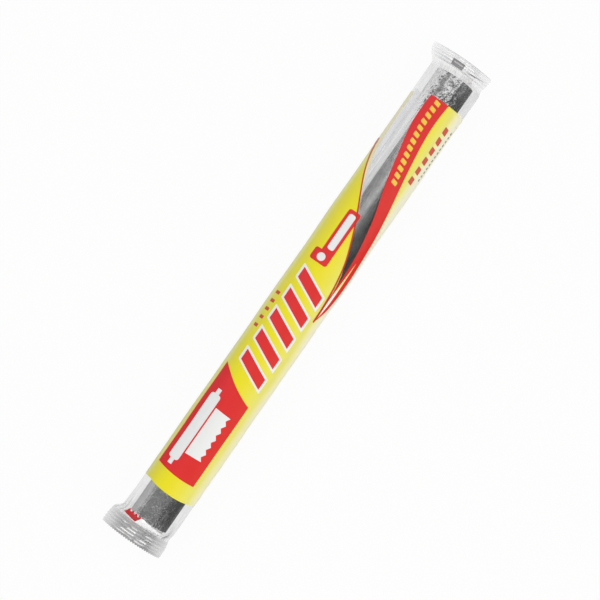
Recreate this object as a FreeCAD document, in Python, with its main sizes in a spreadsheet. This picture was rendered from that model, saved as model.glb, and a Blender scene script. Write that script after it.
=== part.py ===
import FreeCAD, Part

import math
import os

import Sketcher

# Kitchen foil roll, sealed in a printed film sleeve.
# The roll lies along X with its middle at the origin, and Z is up. The pack rests on the plane Z = 0.

# Driving dimensions, in millimetres and degrees
SIZES = [
    ("foil_width", 300.0),          # width of the foil web, so the length of the roll
    ("foil_radius", 12.0),          # outside of the wound foil
    ("foil_tail_step", 0.25),       # height of the step at the free end of the web
    ("foil_tail_angle", 50.0),      # where that end lies, from the +Y side upwards
    ("turn_pitch", 0.24),           # of the edges of the turns, seen on the roll's ends
    ("turn_depth", 0.3),            # of the grooves between those edges
    ("turn_mouth", 0.16),           # width of those grooves on the end face
    ("core_inset", 0.5),            # the paper tube ends this far inside each end of the web
    ("core_radius", 11.0),          # outside of the paper tube
    ("core_wall", 1.2),
    ("core_chamfer", 0.25),         # left on the rims where the tube was cut
    ("winding_gap", 0.02),          # between the paper tube and the first turn
    ("film_thickness", 0.15),
    ("sleeve_half_width", 16.35),   # half the width of the sleeve, seen from above
    ("side_fold_radius", 2.5),      # of the sleeve's two long sides
    ("roll_seat_gap", 0.1),         # between the roll and the film under it
    ("roll_top_gap", 0.3),          # between the roll and the film over it
    ("roll_end_gap", 0.35),         # between each end of the roll and where the sleeve closes in
    ("shoulder_length", 4.3),       # over which the sleeve closes in to an end seal
    ("seal_radius", 26.2),          # the end seals bow up in an arch of this radius
    ("seal_angle", 94.0),           # that the arch spans
    ("seal_shift", 2.3),            # of the arch's middle towards +Y
    ("seal_rise", 3.0),             # of the arch's top above the middle of the sleeve
    ("mouth_gap", 0.1),             # between the two films where an end seal begins
    ("ear_angle", 15.0),            # of the arch at each side, where the two films already touch there
    ("ridge_pitch", 1.95),          # of the crimp ridges across each end seal
    ("ridge_height", 0.45),
    ("edge_margin", 0.9),           # flat strip between the last ridge and the cut edge
    ("tooth_angle", 3.6),           # of the arch, for one tooth of the cut edge
    ("tooth_depth", 0.7),
    ("notch_share", 0.8),           # of a tooth's pitch that the notch beside it takes up
    ("fin_width", 8.0),             # of the long seal, which is folded flat under the sleeve
    ("fin_offset", -1.5),           # of its middle from the middle of the sleeve
    ("fin_thickness", 0.3),         # two films
    ("fin_bite", 0.05),             # how far the sleeve's lowest line sinks into the fin
    ("seal_fin_angle", 19.0),       # where the fin crosses the end seals, from the arch's top
    ("seal_fin_span", 17.0),        # that it takes up there
    ("ink_gap", 0.07),              # clearance under the ink, so that curved faces don't cross
    ("ink_thickness", 0.1),
    ("label_left", -130.0),         # the printed length of the sleeve
    ("label_right", 134.2),
    ("label_back_gap", 16.0),       # bare strip round the long seal
    ("stripe_first", -46.85),       # where the middle of the first slanted stripe lies
    ("stripe_pitch", 13.8),         # from that one to the next
    ("stripe_width", 6.7),
    ("stripe_height", 17.6),
    ("stripe_middle", 0.2),         # of the stripes' height, towards +Y
    ("stripe_lean", 0.5),           # how far a stripe leans to +X for each millimetre of its height
    ("stripe_margin", 1.3),         # of white round each stripe
]
RIDGES = 5
TEETH = 25
TURN_GROOVES = 3
STRIPES = 5

# Values worked out from the driving dimensions, as formulas of the second sheet
WORKED = [
    ("sleeve_bottom", "=Sizes.fin_thickness - Sizes.fin_bite"),
    ("axis_height", "=sleeve_bottom + Sizes.film_thickness + Sizes.roll_seat_gap + Sizes.foil_radius"),
    ("sleeve_top", "=axis_height + Sizes.foil_radius + Sizes.roll_top_gap + Sizes.film_thickness"),
    ("sleeve_middle", "=(sleeve_bottom + sleeve_top) / 2"),
    ("half_height", "=(sleeve_top - sleeve_bottom) / 2"),
    ("fold_centre", "=Sizes.sleeve_half_width - Sizes.side_fold_radius"),
    ("crown_radius", "=(fold_centre ^ 2 + half_height ^ 2 - Sizes.side_fold_radius ^ 2)"
                     " / (2 * (half_height - Sizes.side_fold_radius))"),
    ("fold_across", "=fold_centre / (crown_radius - Sizes.side_fold_radius)"),
    ("fold_up", "=(crown_radius - half_height) / (crown_radius - Sizes.side_fold_radius)"),
    ("hollow_half", "=Sizes.foil_width / 2 + Sizes.roll_end_gap"),
    ("sleeve_half", "=hollow_half + Sizes.film_thickness"),
    ("seal_start", "=sleeve_half + Sizes.shoulder_length"),
    ("seal_thickness", "=Sizes.mouth_gap + 2 * Sizes.film_thickness"),
    ("seal_centre", "=sleeve_middle + Sizes.seal_rise - Sizes.seal_radius"),
    ("web_bore", "=Sizes.core_radius + Sizes.winding_gap"),
]

# Outlines of the print, as it is seen from above: each corner's place along X and Y, and the radius of
# the arc to the next corner, negative where the arc bulges inwards and None where the edge is straight
PANEL = [(-119.4, -9.7, None), (-65.5, -9.7, -75.0), (-51.6, 14.3, None), (-119.4, 14.3, None)]
BAND = [(-7.1, -12.2, 199.0), (70.6, -11.2, None), (96.3, -6.9, -142.0), (134.3, -5.7, None),
        (134.3, 6.2, 127.0), (98.3, 2.4, None), (69.9, -4.8, -259.0)]
WINDOW = [(14.3, -11.6, 150.0), (69.9, -7.0, None), (98.3, 0.0, None), (134.3, 0.0, None),
          (134.3, 14.4, None), (95.0, 14.2, 66.0), (74.3, 8.8, None), (46.3, -3.0, -106.0)]
TAB = [(23.5, -0.6, None), (55.5, -0.6, 1.5), (57.0, 0.9, None), (57.0, 5.5, 1.5), (55.5, 7.0, None),
       (29.6, 7.0, None), (29.6, 8.9, 1.5), (28.1, 10.4, None), (23.5, 10.4, 1.5), (22.0, 8.9, None),
       (22.0, 0.9, 1.5)]
TAB_SPOT = [(28.2, 4.9, 2.4), (25.8, 7.3, 2.4), (23.4, 4.9, 2.4), (25.8, 2.5, 2.4)]
TAB_STRIP = [(32.9, 1.2, None), (53.5, 1.2, 1.3), (54.8, 2.5, None), (54.8, 3.9, 1.3), (53.5, 5.2, None),
             (32.9, 5.2, 1.3), (31.6, 3.9, None), (31.6, 2.5, 1.3)]
EMBLEM_ROLL = [(-111.3, 5.6, None), (-70.7, 5.6, 1.2), (-69.5, 6.8, None), (-69.5, 7.4, None),
               (-66.2, 7.4, None), (-66.2, 9.8, None), (-69.5, 9.8, None), (-69.5, 10.4, 1.2),
               (-70.7, 11.6, None), (-111.3, 11.6, 1.2), (-112.5, 10.4, None), (-112.5, 9.8, None),
               (-115.8, 9.8, None), (-115.8, 7.4, None), (-112.5, 7.4, None), (-112.5, 6.8, 1.2)]
SHEET_FOOT = [(-105.4 + 2.4 * step, -3.8 if step % 2 else -5.4, None) for step in range(13)]
EMBLEM_SHEET = [(-76.0, 4.7, None), (-106.0, 4.7, None)] + SHEET_FOOT

doc = FreeCAD.newDocument("foil_roll")


def make_sheet(name, rows):
    """A spreadsheet with a row for each named value: its name in column A and the value in B."""
    sheet = doc.addObject("Spreadsheet::Sheet", name)
    for row, (alias, content) in enumerate(rows, start=1):
        sheet.set(f"A{row}", alias)
        sheet.set(f"B{row}", str(content))
        sheet.setAlias(f"B{row}", alias)
    doc.recompute()
    return sheet


def outline_rows(name, corners):
    """Sheet rows for an outline, so that its corners and arcs are named values too."""
    for index, (across, up, radius) in enumerate(corners):
        yield f"{name}_{index}_across", across
        yield f"{name}_{index}_up", up
        if radius is not None:
            yield f"{name}_{index}_radius", radius


def stripe_corners(number, margin):
    """Sheet formulas for the corners of a slanted stripe, widened by a margin all round."""
    middle = f"=Sizes.stripe_first + {number} * Sizes.stripe_pitch"
    lean = f"Sizes.stripe_lean * (Sizes.stripe_height / 2 + {margin})"
    half = f"(Sizes.stripe_width / 2 + {margin})"
    foot = f"=Sizes.stripe_middle - Sizes.stripe_height / 2 - {margin}"
    top = f"=Sizes.stripe_middle + Sizes.stripe_height / 2 + {margin}"
    return [(f"{middle} - {lean} - {half}", foot, None), (f"{middle} - {lean} + {half}", foot, None),
            (f"{middle} + {lean} + {half}", top, None), (f"{middle} + {lean} - {half}", top, None)]


sizes = make_sheet("Sizes", SIZES)
worked = make_sheet("Worked", WORKED)
PRINTS = {"panel": PANEL, "band": BAND, "window": WINDOW, "tab": TAB, "tab_spot": TAB_SPOT,
          "tab_strip": TAB_STRIP, "emblem_roll": EMBLEM_ROLL, "emblem_sheet": EMBLEM_SHEET}
STRIPE_NAMES = [f"stripe_{number}" for number in range(STRIPES)]
FRAME_NAMES = [f"frame_{number}" for number in range(STRIPES)]
for number in range(STRIPES):
    PRINTS[STRIPE_NAMES[number]] = stripe_corners(number, "0")
    PRINTS[FRAME_NAMES[number]] = stripe_corners(number, "Sizes.stripe_margin")
artwork = make_sheet("Artwork", [row for name, corners in PRINTS.items()
                                 for row in outline_rows(name, corners)])


def value(expression):
    """The number that an expression of the sheets' values gives."""
    found = worked.evalExpression(expression)
    return float(getattr(found, "Value", found))


def new_body(name):
    body = doc.addObject("PartDesign::Body", name)
    body.Label = name
    return body


def new_sketch(body, name, plane, offset=("0", "0", "0"), turn="0"):
    """A sketch on an origin plane of its body, moved by offset and then turned about its own X axis."""
    sketch = body.newObject("Sketcher::SketchObject", name)
    datum = next(f for f in body.Origin.OriginFeatures if f.Role == plane)
    sketch.AttachmentSupport = [(datum, "")]
    sketch.MapMode = "FlatFace"
    sketch.AttachmentOffset = FreeCAD.Placement(
        FreeCAD.Vector(*(value(part) for part in offset)),
        FreeCAD.Rotation(FreeCAD.Vector(1, 0, 0), value(turn)))
    for axis, expression in zip("xyz", offset):
        sketch.setExpression(f"AttachmentOffset.Base.{axis}", expression)
    if turn != "0":
        sketch.setExpression("AttachmentOffset.Rotation.Angle", turn)
    return sketch


def size(sketch, name, expression, kind, *where):
    """A named dimension of a sketch, bound to an expression of the sheets' values."""
    index = sketch.addConstraint(Sketcher.Constraint(kind, *where, value(expression)))
    sketch.renameConstraint(index, name)
    sketch.setExpression(f"Constraints.{name}", expression)


def place(sketch, name, geometry, point, across, up):
    """Fixes a point of a sketch by its distances from the sketch's origin."""
    size(sketch, f"{name}_across", across, "DistanceX", -1, 1, geometry, point)
    size(sketch, f"{name}_up", up, "DistanceY", -1, 1, geometry, point)


def arc_between(start, end, radius):
    """The arc from start to end, anticlockwise round its centre, or clockwise if radius is negative."""
    chord = end - start
    left = FreeCAD.Vector(-chord.y, chord.x, 0).normalize()
    inset = math.sqrt(radius ** 2 - (chord.Length / 2) ** 2)
    centre = start + chord / 2 + left * math.copysign(inset, radius)
    first, last = (start, end) if radius > 0 else (end, start)
    begin = math.atan2(first.y - centre.y, first.x - centre.x)
    finish = math.atan2(last.y - centre.y, last.x - centre.x)
    if finish < begin:
        finish += 2 * math.pi
    return Part.ArcOfCircle(Part.Circle(centre, FreeCAD.Vector(0, 0, 1), abs(radius)), begin, finish)


def draw_outline(sketch, corners):
    """A closed outline, anticlockwise. Each corner is its name, its place across and up, and the radius
    of the arc to the next one: negative where the arc bulges inwards, None for a straight edge."""
    points = [FreeCAD.Vector(value(across), value(up), 0) for name, across, up, radius in corners]
    edges = []
    for index, (name, across, up, radius) in enumerate(corners):
        start = points[index]
        end = points[(index + 1) % len(points)]
        if radius is None:
            edges.append((sketch.addGeometry(Part.LineSegment(start, end), False), 1, 2))
            continue
        number = value(radius)
        edge = sketch.addGeometry(arc_between(start, end, number), False)
        edges.append((edge, 1, 2) if number > 0 else (edge, 2, 1))
        size(sketch, f"{name}_radius", f"abs({radius})", "Radius", edge)
    for index, (name, across, up, radius) in enumerate(corners):
        before, unused, joined = edges[index - 1]
        edge, begins, ends = edges[index]
        sketch.addConstraint(Sketcher.Constraint("Coincident", before, joined, edge, begins))
        place(sketch, name, edge, begins, across, up)


def draw_circle(sketch, name, radius, up="0"):
    """A circle round a point on the sketch's vertical axis."""
    centre = FreeCAD.Vector(0, value(up), 0)
    circle = sketch.addGeometry(Part.Circle(centre, FreeCAD.Vector(0, 0, 1), value(radius)), False)
    place(sketch, name, circle, 3, "0", up)
    size(sketch, f"{name}_radius", radius, "Radius", circle)


def draw_oval(sketch, name, offset="0"):
    """The sleeve's section: two wide arcs and two small ones, all moved out by offset."""
    small = f"(Sizes.side_fold_radius + {offset})"
    wide = f"(Worked.crown_radius + {offset})"
    across = f"(Worked.fold_centre + {small} * Worked.fold_across)"
    high = f"(Worked.sleeve_middle + {small} * Worked.fold_up)"
    low = f"(Worked.sleeve_middle - {small} * Worked.fold_up)"
    draw_outline(sketch, [
        (f"{name}_right_high", across, high, wide),
        (f"{name}_left_high", f"-{across}", high, small),
        (f"{name}_left_low", f"-{across}", low, wide),
        (f"{name}_right_low", across, low, small),
    ])


def draw_arch(sketch, name, radius, thickness, half_angle):
    """The section of a bowed strip of film: the arch's outer radius, its thickness and half its angle."""
    inner = f"({radius} - {thickness})"
    draw_outline(sketch, [
        (f"{name}_right_high", f"Sizes.seal_shift + {radius} * sin({half_angle})",
         f"Worked.seal_centre + {radius} * cos({half_angle})", radius),
        (f"{name}_left_high", f"Sizes.seal_shift - {radius} * sin({half_angle})",
         f"Worked.seal_centre + {radius} * cos({half_angle})", None),
        (f"{name}_left_low", f"Sizes.seal_shift - {inner} * sin({half_angle})",
         f"Worked.seal_centre + {inner} * cos({half_angle})", f"-{inner}"),
        (f"{name}_right_low", f"Sizes.seal_shift + {inner} * sin({half_angle})",
         f"Worked.seal_centre + {inner} * cos({half_angle})", None),
    ])


def draw_zigzag(sketch, side, low, high):
    """The crimped strip's section along X, between two radii of the arch, with the ridges on both."""
    stations = [(f"{side} * (Worked.seal_start + {step} * Sizes.ridge_pitch / 2)",
                 "Sizes.ridge_height" if step % 2 else "0") for step in range(2 * RIDGES + 1)]
    stations.append((f"{side} * (Worked.seal_start + {RIDGES} * Sizes.ridge_pitch + Sizes.edge_margin)", "0"))
    under = [(f"low_{index}", along, f"{low} + {lift}", None)
             for index, (along, lift) in enumerate(stations)]
    over = [(f"high_{index}", along, f"{high} + {lift}", None)
            for index, (along, lift) in enumerate(stations)]
    draw_outline(sketch, under + over[::-1])


def add_pad(body, sketch, name, length, kind="PartDesign::Pad", symmetric=False):
    """A pad or a pocket of a sketch, to a length that is bound to the sheets."""
    feature = body.newObject(kind, name)
    feature.Profile = sketch
    feature.SideType = "Symmetric" if symmetric else "One side"
    feature.setExpression("Length", length)
    return feature


def add_turned(body, sketch, name, angle, kind="PartDesign::Revolution"):
    """A revolution or a groove of a sketch about the sketch's own X axis, half to each side."""
    feature = body.newObject(kind, name)
    feature.Profile = sketch
    feature.ReferenceAxis = (sketch, ["H_Axis"])
    feature.Midplane = True
    feature.setExpression("Angle", angle)
    return feature


def add_loft(body, first, last, name, kind="PartDesign::AdditiveLoft"):
    """Straight lines from the edges of one sketch to the edges of another."""
    loft = body.newObject(kind, name)
    loft.Profile = first
    loft.Sections = [last]
    loft.Ruled = True
    return loft


def make_sleeve(body):
    """The straight stretch of film round the roll, with the long seal folded flat under it."""
    section = new_sketch(body, "sleeve_section", "YZ_Plane")
    draw_oval(section, "sleeve")
    add_pad(body, section, "sleeve", "2 * Worked.sleeve_half", symmetric=True)
    strip = new_sketch(body, "fin_section", "YZ_Plane")
    left = "Sizes.fin_offset - Sizes.fin_width / 2"
    right = "Sizes.fin_offset + Sizes.fin_width / 2"
    draw_outline(strip, [
        ("fin_left_low", left, "0", None),
        ("fin_right_low", right, "0", None),
        ("fin_right_high", right, "Sizes.fin_thickness", None),
        ("fin_left_high", left, "Sizes.fin_thickness", None),
    ])
    add_pad(body, strip, "fin", "2 * Worked.sleeve_half", symmetric=True)


def make_end(body, name, side):
    """One end of the sleeve: the shoulder that closes in, and the crimped seal in its arch."""
    wide = new_sketch(body, f"{name}_shoulder_root", "YZ_Plane", ("0", "0", f"{side} * Worked.sleeve_half"))
    draw_oval(wide, "root")
    narrow = new_sketch(body, f"{name}_shoulder_tip", "YZ_Plane", ("0", "0", f"{side} * Worked.seal_start"))
    draw_arch(narrow, "tip", "Sizes.seal_radius", "Worked.seal_thickness", "(Sizes.seal_angle / 2)")
    add_loft(body, wide, narrow, f"{name}_shoulder")
    arch_axis = ("0", "Worked.seal_centre", "-Sizes.seal_shift")
    crimp = new_sketch(body, f"{name}_crimp_section", "XZ_Plane", arch_axis)
    draw_zigzag(crimp, side, "Sizes.seal_radius - Worked.seal_thickness", "Sizes.seal_radius")
    add_turned(body, crimp, f"{name}_crimp", "Sizes.seal_angle")
    fin = new_sketch(body, f"{name}_fin_section", "XZ_Plane", arch_axis, "Sizes.seal_fin_angle")
    draw_zigzag(fin, side, "Sizes.seal_radius - Worked.seal_thickness - Sizes.fin_thickness",
                "Sizes.seal_radius - Worked.seal_thickness / 2")
    add_turned(body, fin, f"{name}_crimped_fin", "Sizes.seal_fin_span")
    return crimp


def hollow_sleeve(body):
    """The space inside the film: the straight stretch, and on into both shoulders."""
    section = new_sketch(body, "hollow_section", "YZ_Plane")
    draw_oval(section, "hollow", "-Sizes.film_thickness")
    add_pad(body, section, "hollow", "2 * Worked.hollow_half", "PartDesign::Pocket", symmetric=True)
    for name, side in ENDS:
        root = new_sketch(body, f"{name}_hollow_root", "YZ_Plane", ("0", "0", f"{side} * Worked.hollow_half"))
        draw_oval(root, "root", "-Sizes.film_thickness")
        mouth = new_sketch(body, f"{name}_mouth", "YZ_Plane",
                           ("0", "0", f"{side} * (Worked.seal_start - Sizes.film_thickness)"))
        draw_arch(mouth, "mouth", "(Sizes.seal_radius - Sizes.film_thickness)", "Sizes.mouth_gap",
                  "(Sizes.seal_angle / 2 - Sizes.ear_angle)")
        add_loft(body, root, mouth, f"{name}_hollow", "PartDesign::SubtractiveLoft")


def cut_teeth(body, name, side, crimp):
    """The toothed cut edge of one end seal: a notch, repeated round the arch."""
    first_turn = f"-{TEETH - 1} / 2 * Sizes.tooth_angle"
    notch = new_sketch(body, f"{name}_notch_section", "XY_Plane",
                       ("0", "Sizes.seal_shift", "Worked.seal_centre"), first_turn)
    edge = f"Worked.seal_start + {RIDGES} * Sizes.ridge_pitch + Sizes.edge_margin"
    past = f"{side} * ({edge} + Sizes.tooth_depth)"
    width = "2 * Sizes.notch_share * Sizes.seal_radius * tan(Sizes.tooth_angle / 2)"
    draw_outline(notch, [
        ("root", f"{side} * ({edge} - Sizes.tooth_depth)", "0", None),
        ("past_right", past, f"-{width}", None),
        ("past_left", past, width, None),
    ])
    cut = add_pad(body, notch, f"{name}_notch", "2 * Sizes.seal_radius", "PartDesign::Pocket")
    cut.Reversed = True
    teeth = body.newObject("PartDesign::PolarPattern", f"{name}_teeth")
    teeth.Originals = [cut]
    teeth.Axis = (crimp, ["H_Axis"])
    teeth.Mode = "Spacing"
    teeth.setExpression("Offset", "Sizes.tooth_angle")
    teeth.Occurrences = TEETH
    body.Tip = teeth


ENDS = [("right", 1), ("left", -1)]


def make_wrapper():
    """The film wrapper."""
    body = new_body("film_wrapper")
    make_sleeve(body)
    crimps = [make_end(body, name, side) for name, side in ENDS]
    hollow_sleeve(body)
    doc.recompute()
    for (name, side), crimp in zip(ENDS, crimps):
        cut_teeth(body, name, side, crimp)
        doc.recompute()
    return body


def draw_spiral(sketch):
    """One turn of a spiral as two half circles round centres a step apart, closed by the step itself."""
    radius = "Sizes.foil_radius"
    drop = "(Sizes.foil_tail_step / 2)"
    across = "cos(Sizes.foil_tail_angle)"
    up = "sin(Sizes.foil_tail_angle)"
    tail = math.radians(value("Sizes.foil_tail_angle"))
    outer = value(radius)
    inner = value(f"{radius} - {drop}")
    normal = FreeCAD.Vector(0, 0, 1)
    heading = FreeCAD.Vector(math.cos(tail), math.sin(tail), 0)
    first = sketch.addGeometry(Part.ArcOfCircle(
        Part.Circle(FreeCAD.Vector(), normal, outer), tail, tail + math.pi), False)
    second = sketch.addGeometry(Part.ArcOfCircle(
        Part.Circle(heading * (inner - outer), normal, inner), tail + math.pi, tail + 2 * math.pi), False)
    step = sketch.addGeometry(Part.LineSegment(heading * (2 * inner - outer), heading * outer), False)
    place(sketch, "first_centre", first, 3, "0", "0")
    place(sketch, "tail", first, 1, f"{radius} * {across}", f"{radius} * {up}")
    place(sketch, "second_centre", second, 3, f"-{drop} * {across}", f"-{drop} * {up}")
    size(sketch, "halfway", f"-{radius} * {across}", "DistanceX", -1, 1, first, 2)
    sketch.addConstraint(Sketcher.Constraint("Coincident", first, 2, second, 1))
    sketch.addConstraint(Sketcher.Constraint("Coincident", second, 2, step, 1))
    sketch.addConstraint(Sketcher.Constraint("Coincident", step, 2, first, 1))
    size(sketch, "tail_foot", f"({radius} - 2 * {drop}) * {across}", "DistanceX", -1, 1, step, 1)


def make_foil():
    """The wound foil: its free end makes a step along it, and its ends show the edges of the turns."""
    body = new_body("foil_roll")
    section = new_sketch(body, "foil_section", "YZ_Plane", ("0", "Worked.axis_height", "0"))
    draw_spiral(section)
    draw_circle(section, "bore", "Worked.web_bore")
    add_pad(body, section, "web", "Sizes.foil_width", symmetric=True)
    grooves = new_sketch(body, "turn_sections", "XZ_Plane", ("0", "Worked.axis_height", "0"))
    for name, side in ENDS:
        for turn in range(1, TURN_GROOVES + 1):
            middle = f"Worked.web_bore + {turn} * Sizes.turn_pitch"
            past = f"{side} * (Sizes.foil_width / 2 + Sizes.turn_depth)"
            draw_outline(grooves, [
                (f"{name}_{turn}_root", f"{side} * (Sizes.foil_width / 2 - Sizes.turn_depth)", middle, None),
                (f"{name}_{turn}_low", past, f"{middle} - Sizes.turn_mouth", None),
                (f"{name}_{turn}_high", past, f"{middle} + Sizes.turn_mouth", None),
            ])
    add_turned(body, grooves, "turns", "360", "PartDesign::Groove")
    return body


def make_core():
    """The paper tube that the foil is wound on."""
    body = new_body("cardboard_core")
    section = new_sketch(body, "core_section", "YZ_Plane", ("0", "Worked.axis_height", "0"))
    draw_circle(section, "outside", "Sizes.core_radius")
    draw_circle(section, "inside", "Sizes.core_radius - Sizes.core_wall")
    tube = add_pad(body, section, "tube", "Sizes.foil_width - 2 * Sizes.core_inset", symmetric=True)
    doc.recompute()
    rims = [f"Edge{number}" for number, edge in enumerate(tube.Shape.Edges, start=1)
            if isinstance(edge.Curve, Part.Circle)]
    chamfer = body.newObject("PartDesign::Chamfer", "cut_rims")
    chamfer.Base = (tube, rims)
    chamfer.setExpression("Size", "Sizes.core_chamfer")
    return body


def make_label_ring():
    """A ring of ink round the sleeve, over its whole printed length."""
    body = new_body("label_ring")
    section = new_sketch(body, "label_section", "YZ_Plane", ("0", "0", "Sizes.label_left"))
    draw_oval(section, "inside", "Sizes.ink_gap")
    draw_oval(section, "outside", "(Sizes.ink_gap + Sizes.ink_thickness)")
    add_pad(body, section, "label", "Sizes.label_right - Sizes.label_left")
    return body


def make_field(name, outlines):
    """A block that stands on outlines of the print, from the sleeve's middle to above its top."""
    body = new_body(name)
    sketch = new_sketch(body, f"{name}_outline", "XY_Plane", ("0", "0", "Worked.sleeve_middle"))
    for outline in outlines:
        corners = [(f"{outline}_{index}", f"Artwork.{outline}_{index}_across",
                    f"Artwork.{outline}_{index}_up",
                    None if radius is None else f"Artwork.{outline}_{index}_radius")
                   for index, (across, up, radius) in enumerate(PRINTS[outline])]
        draw_outline(sketch, corners)
    field = add_pad(body, sketch, f"{name}_block", "Worked.sleeve_top")
    field.AllowMultiFace = True
    return body


def make_back_gap():
    """A block over the bare strip under the sleeve."""
    box = doc.addObject("Part::Box", "back_gap")
    box.setExpression("Length", "Sizes.label_right - Sizes.label_left")
    box.setExpression("Width", "Sizes.label_back_gap")
    box.setExpression("Height", "Worked.sleeve_middle")
    box.setExpression("Placement.Base.x", "Sizes.label_left")
    box.setExpression("Placement.Base.y", "-Sizes.label_back_gap / 2")
    return box


def combine(kind, name, shapes):
    """The union or the overlap of several shapes."""
    whole = doc.addObject(kind, name)
    whole.Shapes = shapes
    return whole


def take_away(name, base, tool):
    rest = doc.addObject("Part::Cut", name)
    rest.Base = base
    rest.Tool = tool
    return rest


def make_prints():
    """The three inks: red and white shapes, and yellow round them, with a clear window left in it."""
    ring = make_label_ring()
    red_field = make_field("red_field", ["panel", "band", "tab"] + STRIPE_NAMES)
    on_red = make_field("on_red_field", ["emblem_roll", "emblem_sheet", "tab_spot", "tab_strip"])
    frames = make_field("frames_field", FRAME_NAMES)
    window_field = make_field("window_field", ["window"])
    not_yellow = combine("Part::MultiFuse", "not_yellow", [red_field, frames, window_field, make_back_gap()])
    yellow = take_away("yellow_print", ring, not_yellow)
    red = take_away("red_print", combine("Part::MultiCommon", "red_cover", [ring, red_field]), on_red)
    margins = take_away("stripe_margins", frames, red_field)
    white_field = combine("Part::MultiFuse", "white_field", [on_red, margins])
    white = combine("Part::MultiCommon", "white_print", [ring, white_field])
    return [yellow, red, white]


def check_model(parts):
    """Stops if a feature of the document failed or a sub-part isn't sound."""
    for item in doc.Objects:
        if "Invalid" in item.State or "Error" in item.State:
            raise RuntimeError(f"{item.Name} failed: {item.State}")
    for part in parts:
        if part.Shape.isNull() or not part.Shape.isValid():
            raise RuntimeError(f"{part.Label} has no sound shape")


parts = [make_wrapper(), make_foil(), make_core()] + make_prints()
doc.recompute()
check_model(parts)
os.makedirs("parts", exist_ok=True)
for part in parts:
    part.Shape.exportStep(f"parts/{part.Label}.step")
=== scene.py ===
import math

import bpy
import numpy as np
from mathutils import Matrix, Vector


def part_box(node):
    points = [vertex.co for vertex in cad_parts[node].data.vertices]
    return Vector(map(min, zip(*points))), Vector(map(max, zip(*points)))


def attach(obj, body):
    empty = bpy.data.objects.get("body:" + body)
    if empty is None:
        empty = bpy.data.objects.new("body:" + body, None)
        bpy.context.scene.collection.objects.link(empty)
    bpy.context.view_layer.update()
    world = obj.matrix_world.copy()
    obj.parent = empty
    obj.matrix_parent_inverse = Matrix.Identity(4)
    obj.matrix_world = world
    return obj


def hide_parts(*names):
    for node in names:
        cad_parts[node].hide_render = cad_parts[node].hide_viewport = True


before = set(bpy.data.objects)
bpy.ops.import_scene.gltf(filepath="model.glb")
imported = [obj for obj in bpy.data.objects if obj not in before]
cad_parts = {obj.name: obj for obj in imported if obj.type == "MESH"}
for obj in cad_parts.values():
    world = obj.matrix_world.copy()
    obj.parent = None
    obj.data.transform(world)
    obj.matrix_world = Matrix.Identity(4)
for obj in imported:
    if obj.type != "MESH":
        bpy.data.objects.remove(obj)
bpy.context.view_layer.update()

# Sizes in metres, angles in radians. The roll lies along X, the print faces +Z.
MM = 0.001
roll_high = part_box("foil_roll")[1]
core_low, core_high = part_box("cardboard_core")
film_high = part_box("film_wrapper")[1]

# The wound foil
ROLL_HALF = roll_high[0]
ROLL_AXIS = (core_low[2] + core_high[2]) / 2
ROLL_RADIUS = 12.0 * MM
BORE_RADIUS = core_high[2] - ROLL_AXIS + 0.02 * MM
TAIL_STEP = 0.25 * MM
TAIL_ANGLE = math.radians(50)
TURN_EDGES = 6
TURN_DEPTH = 0.22 * MM

# The film round it
SLEEVE_HALF = 150.5 * MM
SEAL_START = 154.8 * MM
SEAL_END = film_high[0]
HALF_WIDTH = 16.35 * MM
FOLD_RADIUS = 2.5 * MM
SLEEVE_BOTTOM = 0.3 * MM
SLEEVE_TOP = 24.95 * MM
ARCH_RADIUS = 26.2 * MM
ARCH_HALF_ANGLE = math.radians(47)
ARCH_SHIFT = 2.3 * MM
ARCH_TOP = 15.6 * MM
SEAL_THICKNESS = 0.2 * MM
RIDGE_PITCH = 1.95 * MM
RIDGE_HEIGHT = 0.45 * MM
RIDGES = 5
TEETH = 27
TOOTH_DEPTH = 0.7 * MM

# The sleeve's section: two wide arcs, the crown above and the back below, and a small arc at each side
MIDDLE = (SLEEVE_BOTTOM + SLEEVE_TOP) / 2
HALF_HEIGHT = (SLEEVE_TOP - SLEEVE_BOTTOM) / 2
FOLD_CENTRE = HALF_WIDTH - FOLD_RADIUS
CROWN_RADIUS = (FOLD_CENTRE ** 2 + HALF_HEIGHT ** 2 - FOLD_RADIUS ** 2) / (2 * (HALF_HEIGHT - FOLD_RADIUS))
CROWN_ANGLE = math.asin(FOLD_CENTRE / (CROWN_RADIUS - FOLD_RADIUS))
CROWN_ARC = CROWN_RADIUS * CROWN_ANGLE
FOLD_ARC = FOLD_RADIUS * (math.pi - 2 * CROWN_ANGLE)
HALF_GIRTH = 2 * CROWN_ARC + FOLD_ARC

# The shoulders begin just inside the sleeve's ends. They draw in by a share of the width, and widen again
# to the seals over a length. The seals curl down from just past their start, each by an angle of its own.
SHOULDER_START = SLEEVE_HALF - 1.2 * MM
SHOULDER_END = SEAL_START + 0.3 * MM
WAIST_LEFT, WAIST_RIGHT_TOP, WAIST_RIGHT_FOOT = 0.10, 0.32, 0.12
WAIST_LENGTH = 10 * MM
CURL_START = SEAL_START + 0.8 * MM
CURL_LEFT = math.radians(12)
CURL_RIGHT = math.radians(74)

# No point of the film lies closer to the floor than this
FLOOR_GAP = 0.05 * MM

# The print, as places on the film seen from above
LABEL_LEFT = -130.4 * MM
LABEL_RIGHT = 134.2 * MM
BACK_GAP = 16.0 * MM

# The window starts in a tip at the left, and at the right it runs on round the +Y side, so far from the crown
WINDOW_TIP = 14.3 * MM
WINDOW_WRAP = HALF_GIRTH / 2 + 3.5 * MM

# The layers of ink stand off the film by so much, each over the one before
INK_THICKNESS = 0.03 * MM
FIRST_INK = 0.03 * MM
SECOND_INK = 0.08 * MM
THIRD_INK = 0.13 * MM

rng = np.random.default_rng(4058)


# The shape of the film

def eased(share):
    """A share from 0 to 1 that starts and ends gently."""
    share = np.clip(share, 0, 1)
    return share * share * (3 - 2 * share)


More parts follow.
